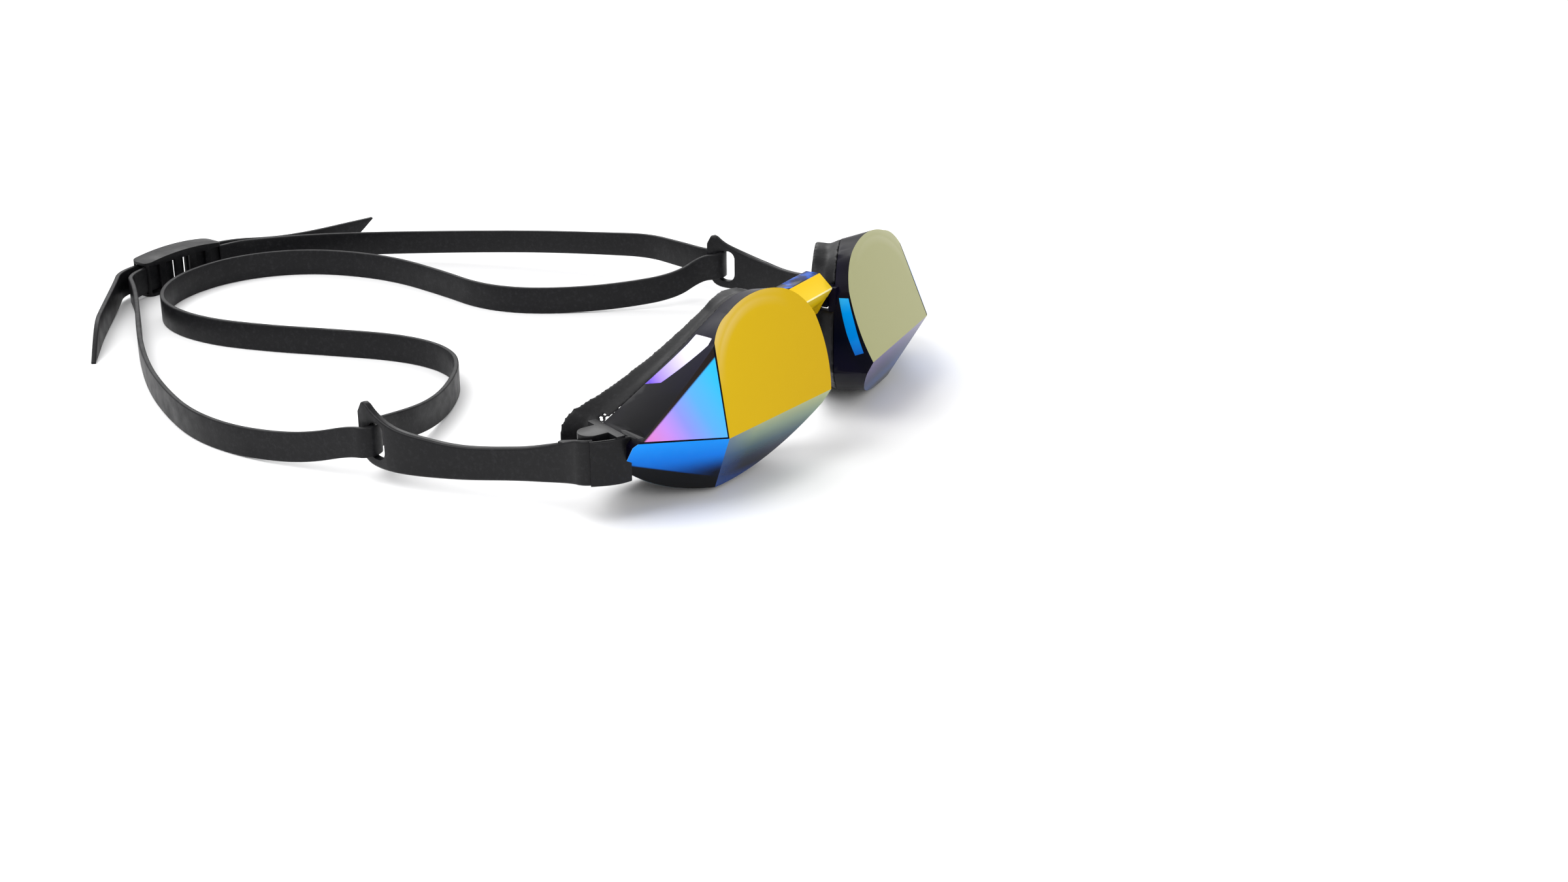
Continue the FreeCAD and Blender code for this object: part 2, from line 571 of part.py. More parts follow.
# ---- buckle --------------------------------------------------------------------------------
def make_buckle():
    height = CHANNEL_TOP + BUCKLE_RAIL
    half = CHANNEL_HALF + BUCKLE_WALL
    end = BUCKLE_LENGTH / 2
    body = Part.makeBox(BUCKLE_LENGTH, 2 * half, height + BUCKLE_CROWN, Vector(-end, -half, 0))
    upright_edges = [e for e in body.Edges if abs(e.Vertexes[0].Point.z - e.Vertexes[1].Point.z) > 1]
    body = body.makeFillet(BUCKLE_CORNER, upright_edges)
    radius = (end * end + BUCKLE_CROWN * BUCKLE_CROWN) / (2 * BUCKLE_CROWN)
    crown = Part.makeCylinder(radius, 40, Vector(0, -20, height + BUCKLE_CROWN - radius), Vector(0, 1, 0))
    body = body.common(crown)
    opening = CHANNEL_TOP - BUCKLE_RAIL
    channel = Part.makeBox(BUCKLE_LENGTH + 2, 2 * CHANNEL_HALF, opening,
                           Vector(-end - 1, -CHANNEL_HALF, BUCKLE_RAIL))
    body = body.cut(channel)
    pitch = BUCKLE_LENGTH / BUCKLE_WINDOWS
    for i in range(BUCKLE_WINDOWS):
        centre = -end + pitch * (i + 0.5)
        window = Part.makeBox(BUCKLE_WINDOW, 2 * half + 2, opening,
                              Vector(centre - BUCKLE_WINDOW / 2, -half - 1, BUCKLE_RAIL))
        body = body.cut(window)
    for side in (1, -1):
        post = Part.makeCylinder(POST_RADIUS, height - 0.2, Vector(side * POST_REACH, 0, 0.1))
        body = body.fuse(post)
    body = body.removeSplitter()
    body.rotate(Vector(0, 0, 0), Vector(0, 0, 1), BUCKLE_YAW)
    body.translate(Vector(BUCKLE_X, BUCKLE_Y, 0))
    return body


# ---- the pieces ----------------------------------------------------------------------------
nodes = {}
for name, shape in (("lens", make_lens()), ("gasket", make_gasket()), ("bracket", make_bracket()),
                    ("arm", make_arm())):
    nodes[name + "_left"] = shape
    nodes[name + "_right"] = mirrored(shape)
nodes["nose_bridge"] = make_bridge()
nodes["buckle"] = make_buckle()
strap_pieces, strap_length = make_strap()
nodes.update(strap_pieces)

os.makedirs("parts", exist_ok=True)
for name, shape in nodes.items():
    shape.translate(Vector(-ORIGIN_X, -ORIGIN_Y, 0))
    shape.exportStep("parts/" + name + ".step")
    print(name, shape.isValid(), len(shape.Solids), round(shape.Volume, 1))
print("strap length", round(strap_length, 1))
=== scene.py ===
import math

import bmesh
import bpy
from mathutils import Matrix, Vector


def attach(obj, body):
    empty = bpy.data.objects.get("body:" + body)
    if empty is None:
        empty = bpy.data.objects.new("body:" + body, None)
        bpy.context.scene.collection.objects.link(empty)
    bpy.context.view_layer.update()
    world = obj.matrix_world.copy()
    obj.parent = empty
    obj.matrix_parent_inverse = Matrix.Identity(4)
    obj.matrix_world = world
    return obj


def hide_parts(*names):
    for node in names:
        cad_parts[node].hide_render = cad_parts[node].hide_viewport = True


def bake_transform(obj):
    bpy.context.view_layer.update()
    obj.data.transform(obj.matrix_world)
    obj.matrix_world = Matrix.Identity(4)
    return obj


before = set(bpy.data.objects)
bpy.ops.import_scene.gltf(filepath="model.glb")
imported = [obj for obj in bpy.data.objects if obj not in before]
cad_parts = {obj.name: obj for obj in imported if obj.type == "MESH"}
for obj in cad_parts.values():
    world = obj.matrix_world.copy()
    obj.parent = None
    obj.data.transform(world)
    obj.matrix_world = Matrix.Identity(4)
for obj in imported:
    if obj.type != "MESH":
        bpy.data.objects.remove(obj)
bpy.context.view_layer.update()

# The source's drawing axes: millimetres, x = 0 between the lenses, y = 0 at the lower outer
# corner of the lens faces. The frame is that moved by SHIFT.
SHIFT = Vector((3.24, 114.74, 0.0))
MM = 0.001
BLACK, WHITE = (0.0, 0.0, 0.0, 1.0), (1.0, 1.0, 1.0, 1.0)


def place(x, y, z, side=1):
    """A point of the drawing, mirrored for the right side, in the frame."""
    return Vector((side * x - SHIFT.x, y - SHIFT.y, z)) * MM


def side_word(side):
    return "left" if side > 0 else "right"


def srgb(r, g, b):
    """A colour given as 0 to 255 sRGB values, made linear."""
    linear = []
    for value in (r, g, b):
        share = value / 255.0
        linear.append(share / 12.92 if share <= 0.04045 else ((share + 0.055) / 1.055) ** 2.4)
    return (*linear, 1.0)


def grey(share):
    return (share, share, share, 1.0)


# ---- the lens face ---------------------------------------------------------------------
# The face's own directions and the corners of its facets, as in the source.
YAW, LEAN = math.radians(6.86), math.radians(18.93)
FACE = Vector((30.0, 1.91, 30.0))
FACE_U = Vector((math.cos(YAW), math.sin(YAW), 0))
FACE_V = Vector((-math.sin(YAW) * math.sin(LEAN), math.cos(YAW) * math.sin(LEAN), math.cos(LEAN)))
FACE_N = FACE_U.cross(FACE_V)


def on_face(u, v):
    return FACE + FACE_U * u + FACE_V * v


CORNER = on_face(19.6, -13.2)
BROW = on_face(16.2, 7.6)
NOSE_CORNER = on_face(-19.3, -13.2)
CHEEK = Vector((66.5, 17.1, 13.2))
BROW_TIP = Vector((65.9, 11.7, 20.7))
CHIN = Vector((44.8, 6.5, 4.7))
CHIN_EDGE = Vector((44.3, 7.2, 3.3))
BOTTOM_LEAN = math.radians(47.5)
# The arched edge of the face is read as an ellipse round this middle, with these two points on it.
ARCH_MIDDLE, ARCH_OUT, ARCH_TOP = on_face(-1.8, -3.0), on_face(19.2, -3.0), on_face(-1.8, 15.5)


# ---- material nodes --------------------------------------------------------------------
def new_material(name):
    material = bpy.data.materials.new(name)
    material.use_nodes = True
    tree = material.node_tree
    tree.nodes.clear()
    return material, tree, tree.nodes.new("ShaderNodeOutputMaterial")


def principled(tree, color, rough, metal=0.0, coat=0.0, coat_rough=0.1, spec=0.12):
    shader = tree.nodes.new("ShaderNodeBsdfPrincipled")
    for socket, value in (("Base Color", color), ("Roughness", rough), ("Metallic", metal),
                          ("Coat Weight", coat), ("Coat Roughness", coat_rough),
                          ("Specular IOR Level", spec)):
        shader.inputs[socket].default_value = value
    return shader


def math_node(tree, operation, *values, clamp=False):
    node = tree.nodes.new("ShaderNodeMath")
    node.operation = operation
    node.use_clamp = clamp
    for socket, value in zip(node.inputs, values):
        if isinstance(value, (int, float)):
            socket.default_value = value
        else:
            tree.links.new(value, socket)
    return node.outputs[0]


def clamped(tree, value):
    return math_node(tree, "MULTIPLY", value, 1.0, clamp=True)


def drawing_point(tree):
    """The shaded point on the drawing's axes, in mm, with the right side folded on the left."""
    coordinates = tree.nodes.new("ShaderNodeTexCoord")
    split = tree.nodes.new("ShaderNodeSeparateXYZ")
    tree.links.new(coordinates.outputs["Object"], split.inputs[0])
    x, y, z = (math_node(tree, "MULTIPLY_ADD", split.outputs[i], 1 / MM, SHIFT[i]) for i in range(3))
    join = tree.nodes.new("ShaderNodeCombineXYZ")
    for socket, value in zip(join.inputs, (math_node(tree, "ABSOLUTE", x), y, z)):
        tree.links.new(value, socket)
    return join.outputs[0]


def share_along(tree, point, first, last):
    """0 at one drawing point and 1 at another, measured along the line between them."""
    way = Vector(last) - Vector(first)
    offset = tree.nodes.new("ShaderNodeVectorMath")
    offset.operation = "SUBTRACT"
    tree.links.new(point, offset.inputs[0])
    offset.inputs[1].default_value = first
    dot = tree.nodes.new("ShaderNodeVectorMath")
    dot.operation = "DOT_PRODUCT"
    tree.links.new(offset.outputs[0], dot.inputs[0])
    dot.inputs[1].default_value = way / way.length_squared
    return dot.outputs["Value"]


def ramp(tree, value, stops, smooth=False):
    node = tree.nodes.new("ShaderNodeValToRGB")
    elements = node.color_ramp.elements
    node.color_ramp.interpolation = "EASE" if smooth else "LINEAR"
    while len(elements) < len(stops):
        elements.new(0.5)
    for element, (where, color) in zip(elements, stops):
        element.position = where
        element.color = color
    tree.links.new(value, node.inputs[0])
    return node.outputs[0]


def paint(tree, value, *stops):
    """A ramp whose stops are a share and 0 to 255 sRGB values."""
    return ramp(tree, value, [(share, srgb(*color)) for share, *color in stops])


def paint_between(tree, point, first, last, *stops):
    """Colours that change from one drawing point to another."""
    return paint(tree, share_along(tree, point, first, last), *stops)


def mix_color(tree, factor, first, second):
    """Mixes colours by a factor. The colour sockets of a Mix node are 6 and 7 in and 2 out."""
    node = tree.nodes.new("ShaderNodeMix")
    node.data_type = "RGBA"
    tree.links.new(factor, node.inputs[0])
    for socket, value in ((node.inputs[6], first), (node.inputs[7], second)):
        if isinstance(value, tuple):
            socket.default_value = value
        else:
            tree.links.new(value, socket)
    return node.outputs[2]


def noise(tree, scale, detail=3.0, rough=0.5):
    coordinates = tree.nodes.new("ShaderNodeTexCoord")
    node = tree.nodes.new("ShaderNodeTexNoise")
    node.inputs["Scale"].default_value = scale
    node.inputs["Detail"].default_value = detail
    node.inputs["Roughness"].default_value = rough
    tree.links.new(coordinates.outputs["Object"], node.inputs["Vector"])
    return node.outputs["Fac"]


def bump(tree, shader, height, strength, distance):
    node = tree.nodes.new("ShaderNodeBump")
    node.inputs["Strength"].default_value = strength
    node.inputs["Distance"].default_value = distance
    tree.links.new(height, node.inputs["Height"])
    tree.links.new(node.outputs[0], shader.inputs["Normal"])


def beyond_line(tree, point, origin, first, last, soft=0.02):
    """0 on origin's side of a line between two drawing points, 1 past it."""
    at_line = 0.8
    way = (last - first).normalized()
    foot = first + way * (origin - first).dot(way)
    share = share_along(tree, point, origin, origin + (foot - origin) / at_line)
    return ramp(tree, share, [(at_line - soft, BLACK), (at_line, WHITE)])


# ---- kinds of material -----------------------------------------------------------------
def black_rubber(name, color, rough, grain, depth, coat=0.0):
    """Satin black moulding: fine grain, faint mottling in its gloss, a little dust."""
    material, tree, out = new_material(name)
    shader = principled(tree, color, rough, coat=coat, coat_rough=0.25, spec=0.16)
    mottle = ramp(tree, noise(tree, 260.0, 4.0), [(0.3, grey(rough - 0.07)), (0.7, grey(rough + 0.08))])
    tree.links.new(mottle, shader.inputs["Roughness"])
    dusty = (*(min(1, value * 2.6 + 0.004) for value in color[:3]), 1.0)
    dust = ramp(tree, noise(tree, 900.0, 6.0, 0.7), [(0.5, color), (0.85, dusty)])
    tree.links.new(dust, shader.inputs["Base Color"])
    bump(tree, shader, noise(tree, grain), depth, 0.2 * MM)
    tree.links.new(shader.outputs[0], out.inputs[0])
    return material


def coated(name, color, rough, metal, coat, wave=0.03, spec=0.12):
    """A mirror-coated facet. color is one colour, or a function that paints it over the drawing."""
    material, tree, out = new_material(name)
    shader = principled(tree, BLACK, rough, metal, coat, 0.06, spec)
    if callable(color):
        tree.links.new(color(tree, drawing_point(tree)), shader.inputs["Base Color"])
    else:
        shader.inputs["Base Color"].default_value = color
    bump(tree, shader, noise(tree, 90.0, 2.0), wave, 0.3 * MM)
    tree.links.new(shader.outputs[0], out.inputs[0])
    return material


def arch_highlight(tree, point):
    """A painted highlight: the pale band inside the face's arched edge, strongest at the upper outer side."""
    out = share_along(tree, point, ARCH_MIDDLE, ARCH_OUT)
    up = share_along(tree, point, ARCH_MIDDLE, ARCH_TOP)
    squares = [math_node(tree, "MULTIPLY", share, share) for share in (out, up)]
    radius = math_node(tree, "SQRT", math_node(tree, "ADD", *squares))
    band = ramp(tree, radius, [(0.80, BLACK), (0.90, grey(0.8)), (0.94, grey(0.35)), (1.0, WHITE)])
    upper = clamped(tree, share_along(tree, point, on_face(0, -3), on_face(0, 9)))
    outer = clamped(tree, share_along(tree, point, on_face(-13, 0), on_face(6, 0)))
    return math_node(tree, "MULTIPLY", math_node(tree, "MULTIPLY", band, upper), outer)


def face_shader(tree, point, low, high, band, metal, coat, spec):
    """The front facet in one tint: low to high over the facet, and a painted highlight band along its arch."""
    shader = principled(tree, BLACK, 0.3, metal, coat, spec=spec)
    body = paint_between(tree, point, on_face(-20, -14), on_face(14, 14), (0.0, *low), (1.0, *high))
    color = mix_color(tree, arch_highlight(tree, point), body, srgb(*band))
    tree.links.new(color, shader.inputs["Base Color"])
    bump(tree, shader, noise(tree, 60.0, 2.0), 0.02, 0.3 * MM)
    return shader


def make_face_material():
    """Gold seen nearly square on, and pale khaki seen at a low angle, as an interference coat.

    Layer Weight changes the colour here, and not only the gloss; this is left open.
    """
    material, tree, out = new_material("mirror_face")
    point = drawing_point(tree)
    # The third colour of each tint is its painted highlight along the arch.
    gold = face_shader(tree, point, (198, 160, 0), (206, 170, 0), (212, 182, 92), 0.15, 0.06, 0.12)
    khaki = face_shader(tree, point, (158, 158, 112), (168, 168, 126), (178, 178, 142), 0.1, 0.04, 0.1)
    weight = tree.nodes.new("ShaderNodeLayerWeight")
    weight.inputs["Blend"].default_value = 0.5
    turn = ramp(tree, weight.outputs["Facing"], [(0.40, BLACK), (0.55, WHITE)], smooth=True)
    mix = tree.nodes.new("ShaderNodeMixShader")
    for socket, value in zip(mix.inputs, (turn, gold.outputs[0], khaki.outputs[0])):
        tree.links.new(value, socket)
    tree.links.new(mix.outputs[0], out.inputs[0])
    return material


# ---- the paint on each facet -----------------------------------------------------------
BOTTOM_LINE = ((32.0, -4.6, 16.5), (32.0, 7.0, 2.0))


def triangle_color(tree, point):
    """Pink by the hinge to cyan by the face, with a dark strip along the upper edge."""
    body = paint_between(tree, point, (64.0, 12.0, 19.5), (48.0, 2.5, 28.5),
                         (0.0, 196, 116, 190), (0.2, 178, 126, 214), (0.42, 128, 136, 226),
                         (0.66, 84, 160, 236), (1.0, 40, 176, 240))
    strip = beyond_line(tree, point, CORNER, BROW_TIP, CORNER.lerp(BROW, 0.9))
    return mix_color(tree, strip, body, srgb(22, 12, 8))


def lower_color(tree, point):
    """Azure, darker inward and down, and black past the line from cheek to chin."""
    body = paint_between(tree, point, (55.0, 7.0, 19.5), (53.0, 11.5, 5.5),
                         (0.0, 0, 140, 236), (0.4, 0, 118, 222), (0.75, 0, 92, 190), (1.0, 0, 70, 150))
    inward = ramp(tree, share_along(tree, point, (62.0, 13.0, 12.0), (47.0, 4.0, 10.0)),
                  [(0.0, grey(0.1)), (1.0, WHITE)])
    down = ramp(tree, share_along(tree, point, (50.0, 2.0, 13.5), (46.0, 6.0, 4.5)),
                [(0.1, BLACK), (0.85, WHITE)], smooth=True)
    body = mix_color(tree, math_node(tree, "MULTIPLY", inward, down), body, srgb(2, 10, 30))
    return mix_color(tree, beyond_line(tree, point, CORNER, CHEEK, CHIN, 0.03), body, srgb(4, 5, 8))


def far_bottom_color(tree, point):
    # The left lens's bottom facet: a copy of the same coat, painted darker and more violet, the reflection
    # colour it shows at the camera's angle.
    return paint_between(tree, point, *BOTTOM_LINE,
                         (0.0, 92, 78, 124), (0.3, 58, 48, 98), (0.55, 14, 28, 84),
                         (0.8, 0, 62, 128), (1.0, 4, 14, 44))


def bottom_color(tree, point):
    body = paint_between(tree, point, *BOTTOM_LINE,
                         (0.0, 160, 170, 126), (0.25, 122, 142, 122), (0.5, 62, 88, 100),
                         (0.7, 14, 30, 58), (0.86, 2, 8, 28), (1.0, 0, 48, 116))
    outward = ramp(tree, share_along(tree, point, (38.0, 0.0, 10.0), (50.0, 3.0, 8.0)),
                   [(0.0, BLACK), (1.0, grey(0.75))])
    return mix_color(tree, outward, body, srgb(0, 66, 140))


def wall_color(tree, point):
    body = paint_between(tree, point, (45.0, 15.0, 12.0), (30.0, 12.0, 44.0),
                         (0.0, 4, 4, 7), (0.45, 6, 5, 16), (0.75, 4, 6, 20), (1.0, 14, 13, 18))
    clouds = ramp(tree, noise(tree, 45.0, 2.0), [(0.45, BLACK), (0.75, grey(0.5))])
    return mix_color(tree, clouds, body, srgb(14, 6, 44))


def brow_color(tree, point):
    # A painted highlight: white at the upper inner end, to lilac and purple-blue at the lower outer end.
    return paint_between(tree, point, (50.2, 21.0, 27.0), (41.0, 11.5, 37.2),
                         (0.0, 84, 48, 190), (0.12, 142, 110, 232), (0.35, 182, 168, 238),
                         (0.65, 222, 218, 248), (1.0, 250, 248, 255))


def window_color(tree, point):
    return paint_between(tree, point, (9.0, -1.5, 19.5), (8.4, 2.5, 33.5),
                         (0.0, 0, 96, 190), (0.3, 0, 138, 232), (0.75, 0, 150, 240), (1.0, 40, 170, 245))


def bridge_gold_and_ridge_highlight(tree, point):
    # Gold, paler a little above the middle of its height: a painted highlight along the ridge.
    return paint_between(tree, point, (0.0, 9.0, 28.8), (0.0, 9.0, 39.4),
                         (0.0, 224, 176, 0), (0.45, 240, 200, 20), (0.6, 250, 216, 60), (1.0, 240, 196, 10))


def bridge_top_color(tree, point):
    """Blue glints scattered by noise. It doesn't depend on the drawing point."""
    return paint(tree, noise(tree, 160.0, 2.0),
                 (0.35, 0, 6, 26), (0.47, 0, 30, 92), (0.56, 0, 84, 190), (0.66, 0, 10, 40))


MIRROR = {
    "face": make_face_material(),
    "upper": coated("mirror_triangle", triangle_color, rough=0.2, metal=0.15, coat=0.07),
    "lower": coated("mirror_lower", lower_color, rough=0.18, metal=0.15, coat=0.05, spec=0.08),
    "bottom": coated("mirror_bottom", bottom_color, rough=0.2, metal=0.15, coat=0.04, spec=0.08),
    "far_bottom_reflection": coated("mirror_far_bottom", far_bottom_color, rough=0.2, metal=0.15, coat=0.03, spec=0.06),
    "wall": coated("mirror_wall", wall_color, rough=0.33, metal=0.0, coat=0.0, wave=0.05, spec=0.05),
    # a painted highlight on the upper wall, white to lilac
    "brow_highlight": coated("mirror_brow", brow_color, rough=0.2, metal=0.1, coat=0.06),
    "window": coated("mirror_window", window_color, rough=0.15, metal=0.18, coat=0.08),
    "end": coated("mirror_end", srgb(6, 6, 9), rough=0.2, metal=0.05, coat=0.04, spec=0.05),
    # near black, on the rounded creases between facets
    "dark_crease": coated("mirror_ink_line", srgb(3, 5, 12), rough=0.3, metal=0.0, coat=0.0, spec=0.04),
    "glint": coated("mirror_edge", srgb(150, 205, 240), rough=0.15, metal=0.25, coat=0.1),
    "inside": black_rubber("lens_tint", srgb(14, 15, 20), rough=0.25, grain=700.0, depth=0.04, coat=0.4),
}
GASKET = black_rubber("gasket_silicone", srgb(15, 15, 17), rough=0.42, grain=1500.0, depth=0.10)
ARM = black_rubber("arm_plastic", srgb(16, 16, 18), rough=0.36, grain=1100.0, depth=0.07, coat=0.06)
BRACKET = black_rubber("bracket_plastic", srgb(14, 14, 16), rough=0.34, grain=1100.0, depth=0.06, coat=0.05)
STRAP = black_rubber("strap_silicone", srgb(18, 18, 20), rough=0.44, grain=1600.0, depth=0.12)
BUCKLE = black_rubber("buckle_plastic", srgb(12, 12, 14), rough=0.38, grain=1300.0, depth=0.08)
# In the order of the numbers that bridge_paint gives. The last one is a pale painted highlight on the rounded
# gold edges.
GOLD, BLUE, DARK = range(3)
BRIDGE = [
    coated("bridge_gold", bridge_gold_and_ridge_highlight, rough=0.18, metal=0.2, coat=0.08),
    coated("bridge_blue", bridge_top_color, rough=0.2, metal=0.1, coat=0.03, spec=0.05),
    coated("bridge_dark", srgb(4, 6, 18), rough=0.25, metal=0.1, coat=0.03, spec=0.05),
    coated("bridge_edge_highlight", srgb(252, 240, 176), rough=0.18, metal=0.1, coat=0.07),
]


# ---- meshes ----------------------------------------------------------------------------
WELD = 0.002 * MM
FLAT_WITHIN = math.radians(0.04)


def add_object(name, bm, materials, smooth_angle=30.0):
    mesh = bpy.data.meshes.new(name)
    bm.to_mesh(mesh)
    bm.free()
    obj = bpy.data.objects.new(name, mesh)
    bpy.context.scene.collection.objects.link(obj)
    for material in materials:
        mesh.materials.append(material)
    mesh.shade_smooth()
    mesh.set_sharp_from_angle(angle=math.radians(smooth_angle))
    return obj


def from_cad(node):
    """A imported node's mesh, with its flat faces made whole again."""
    bm = bmesh.new()
    bm.from_mesh(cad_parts[node].data)
    bmesh.ops.remove_doubles(bm, verts=bm.verts, dist=WELD)
    bmesh.ops.dissolve_limit(bm, angle_limit=FLAT_WITHIN, verts=bm.verts, edges=bm.edges)
    bm.normal_update()
    return bm


def apply_modifiers(obj):
    """Replaces the object's mesh with what its modifiers make of it."""
    depsgraph = bpy.context.evaluated_depsgraph_get()
    mesh = bpy.data.meshes.new_from_object(obj.evaluated_get(depsgraph))
    obj.modifiers.clear()
    obj.data = mesh
    return mesh


def sharp_edges(bm, degrees):
    return [e for e in bm.edges if len(e.link_faces) == 2 and e.calc_face_angle(0) > math.radians(degrees)]


def bevel(bm, edges, width, segments=2, material=-1):
    if edges:
        bmesh.ops.bevel(bm, geom=edges, offset=width, offset_type="OFFSET", segments=segments,
                        profile=0.5, affect="EDGES", clamp_overlap=True, material=material)


# ---- lenses ----------------------------------------------------------------------------
SLOTS = ["face", "upper", "lower", "bottom", "wall", "brow_highlight", "window", "end", "dark_crease", "glint", "inside"]
WALL = SLOTS.index("wall")
UNROUNDED = {SLOTS.index(k) for k in ("dark_crease", "glint", "upper")}
FLAT = {SLOTS.index(k) for k in ("face", "upper", "lower", "bottom", "end")}
SAME_WAY = 0.9995               # how nearly a face has to share its facet's direction
ON_PLANE = 0.1 * MM
INSIDE_MIDDLE = (36, 17.2, 21)  # a point in the cup, which its inner faces look at
INSIDE_REACH = 40 * MM
INSIDE_FACING = 0.12
PATCH_DEPTH = 4 * MM
PATCH_REACH = 2.2               # how far a patch's cuts run, in times its largest radius
CUT_FACING, PAINT_FACING = 0.35, 0.3

# Each painted patch of the wall: its corners, and the way it looks.
PATCHES = {
    # The first patch is a painted highlight on the upper wall, white to lilac.
    "brow_highlight": ([(37.65, 16.22, 35.78), (43.9, 8.2, 38.2), (50.55, 17.83, 27.92), (49.27, 22.98, 26.14)],
             (0.42, 0.43, 0.8)),
    "end": ([(62.76, 20.79, 19.85), (63.51, 14.98, 21.27), (65.88, 11.69, 20.71), (66.42, 16.26, 19.19)],
            (0.5, 0.2, 0.8)),
    "window": ([(8.33, 4.3, 33.43), (8.43, 0.99, 33.79), (8.04, -0.56, 28.44), (9.46, -3.02, 20.12),
                (8.77, -0.3, 18.99), (7.73, 1.23, 24.84)],
               (-0.98, -0.15, 0.0)),
}


def facet_normals():
    upper = (BROW_TIP - CORNER).cross(BROW - CORNER).normalized()
    lower = (CHIN_EDGE - CORNER).cross(CHEEK - CORNER).normalized()
    turn = Matrix.Rotation(BOTTOM_LEAN, 3, (NOSE_CORNER - CORNER).normalized())
    bottom = turn @ FACE_N
    if bottom.z > FACE_N.z:
        bottom = turn.inverted() @ FACE_N
    return {"face": FACE_N, "upper": upper, "lower": lower, "bottom": bottom}


def cut_patch(bm, side, corners, outward, slot):
    """Cuts a flat-sided patch into the lens wall and paints it."""
    spots = [place(*c, side) for c in corners]
    middle = sum(spots, Vector()) / len(spots)
    out = Vector((outward[0] * side, outward[1], outward[2])).normalized()
    planes = []
    for a, b in zip(spots, spots[1:] + spots[:1]):
        normal = (b - a).cross(out).normalized()
        if normal.dot(middle - a) > 0:
            normal = -normal
        planes.append((a, normal))
    reach = max((s - middle).length for s in spots) * PATCH_REACH

    def near_wall(f, facing):
        return (f.material_index == WALL and f.normal.dot(out) > facing
                and (f.calc_center_median() - middle).length < reach)

    for spot, normal in planes:
        faces = [f for f in bm.faces if near_wall(f, CUT_FACING)]
        # each edge and corner once, in an order that is the same each run
        edges = dict.fromkeys(e for f in faces for e in f.edges)
        corners_of = dict.fromkeys(v for f in faces for v in f.verts)
        bmesh.ops.bisect_plane(bm, geom=[*faces, *edges, *corners_of], dist=1e-7,
                               plane_co=spot, plane_no=normal)
    for f in bm.faces:
        c = f.calc_center_median()
        within = all(normal.dot(c - spot) < 0 for spot, normal in planes)
        if within and near_wall(f, PAINT_FACING) and abs(out.dot(c - middle)) < PATCH_DEPTH:
            f.material_index = SLOTS.index(slot)


def paint_facets(bm, side):
    """Marks each face of a lens as one of its facets, its inside or its wall."""
    normals = {k: Vector((n.x * side, n.y, n.z)) for k, n in facet_normals().items()}
    anchors = {k: place(*(FACE if k == "face" else CORNER), side) for k in normals}
    inside = place(*INSIDE_MIDDLE, side)
    for f in bm.faces:
        c = f.calc_center_median()
        slot = "wall"
        for key, n in normals.items():
            if f.normal.dot(n) > SAME_WAY and abs(n.dot(c - anchors[key])) < ON_PLANE:
                slot = key
        inward = inside - c
        looks_in = f.normal.dot(inward.normalized()) > INSIDE_FACING
        if slot == "wall" and looks_in and inward.length < INSIDE_REACH:
            slot = "inside"
        f.material_index = SLOTS.index(slot)


def make_lens(name, side):
    bm = from_cad(name)
    paint_facets(bm, side)
    for slot, (corners, outward) in PATCHES.items():
        cut_patch(bm, side, corners, outward, slot)

    def between(a, b):
        pair = {SLOTS.index(a), SLOTS.index(b)}
        return [e for e in bm.edges
                if len(e.link_faces) == 2 and {f.material_index for f in e.link_faces} == pair]

    # The creases between the face and the triangle, and between the triangle and the lower facet, are rounded
    # and coloured near black.
    bevel(bm, between("face", "upper") + between("upper", "lower"), 0.5 * MM, 2, SLOTS.index("dark_crease"))
    glints = [e for e in between("lower", "wall") + between("lower", "end") if e.calc_face_angle(0) > 0.3]
    bevel(bm, glints, 0.16 * MM, 1, SLOTS.index("glint"))
    rest = [e for e in sharp_edges(bm, 22) if e.calc_length() > 0.2 * MM
            and not any(f.material_index in UNROUNDED for f in e.link_faces)]
    bevel(bm, rest, 0.14 * MM)
    # the left lens's bottom facet takes the copy painted with its reflection colour
    skins = [MIRROR["far_bottom_reflection" if k == "bottom" and side > 0 else k] for k in SLOTS]
    obj = add_object("lens_shell_" + side_word(side), bm, skins, 18.0)
    for polygon in obj.data.polygons:
        polygon.use_smooth = polygon.material_index not in FLAT
    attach(obj, "goggles")
    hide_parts(name)


# ---- bridge, brackets and buckle -------------------------------------------------------
def bridge_paint(f):
    """Gold in front, blue on top, and dark on the hooks and elsewhere."""
    middle, n = f.calc_center_median(), f.normal
    on_hook = abs(middle.x / MM + SHIFT.x) > 7.6
    if on_hook:
        return DARK
    if n.y < -0.25 and middle.y < 0.0:
        return GOLD if abs(n.x) < 0.3 else DARK
    return BLUE if n.z > 0.7 else DARK


def make_bevelled(node, name, body, materials, width, degrees=25.0, segments=3, painter=None):
    """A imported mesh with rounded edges. painter gives a face's material where there are several."""
    bm = from_cad(node)
    if painter:
        for f in bm.faces:
            f.material_index = painter(f)
        # the rounded gold edges take the last material, a pale painted highlight
        pale = [e for e in sharp_edges(bm, degrees) if all(f.material_index == GOLD for f in e.link_faces)]
        bevel(bm, pale, width, segments, len(materials) - 1)
        top = [e for e in sharp_edges(bm, 40) if any(f.material_index == BLUE for f in e.link_faces)]
        bevel(bm, top, width, segments)
    else:
        bevel(bm, sharp_edges(bm, degrees), width, segments)
    obj = add_object(name, bm, materials)
    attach(obj, body)
    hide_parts(node)


# ---- gaskets ---------------------------------------------------------------------------
def make_gasket(node, name):
    """The ring, remeshed and relaxed so that every edge of the silicone is soft."""
    bm = from_cad(node)
    bmesh.ops.triangulate(bm, faces=bm.faces)
    obj = add_object(name, bm, [GASKET])
    remesh = obj.modifiers.new("soft", "REMESH")
    remesh.mode = "VOXEL"
    remesh.voxel_size = 0.45 * MM
    relax = obj.modifiers.new("relax", "SMOOTH")
    relax.factor = 0.5
    relax.iterations = 5
    apply_modifiers(obj).shade_smooth()
    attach(obj, "goggles")
    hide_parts(node)


